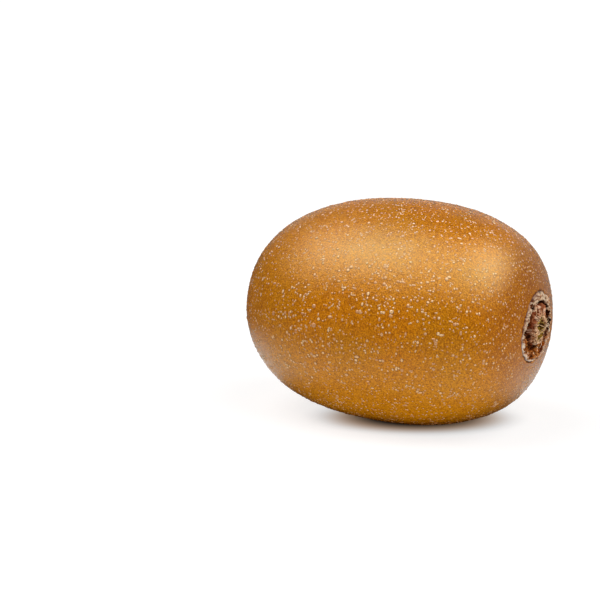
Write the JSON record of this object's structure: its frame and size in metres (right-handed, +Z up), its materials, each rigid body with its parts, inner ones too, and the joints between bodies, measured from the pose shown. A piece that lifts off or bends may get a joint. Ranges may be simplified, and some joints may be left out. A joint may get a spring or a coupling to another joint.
{
  "type": "golden kiwi fruit",
  "caption": "Whole golden kiwi fruit lying on its side: smooth oval barrel with a blunter stem end that carries the corky stem scar, and a rounder, puckered blossom end.",
  "frame": {"origin": "middle of the footprint, on the surface that the fruit lies on", "axes": "+X along the fruit towards its stem end, +Y across it, +Z up"},
  "size_m": [0.0726, 0.0542, 0.0515],
  "materials": {
    "skin": "satin golden-brown fruit skin with fine pale corky dots; the stem scar is a pale corky ring round dried reddish-brown remains"
  },
  "bodies": {
    "root": {"kiwi_fruit": "skin"}
  },
  "joints": []
}
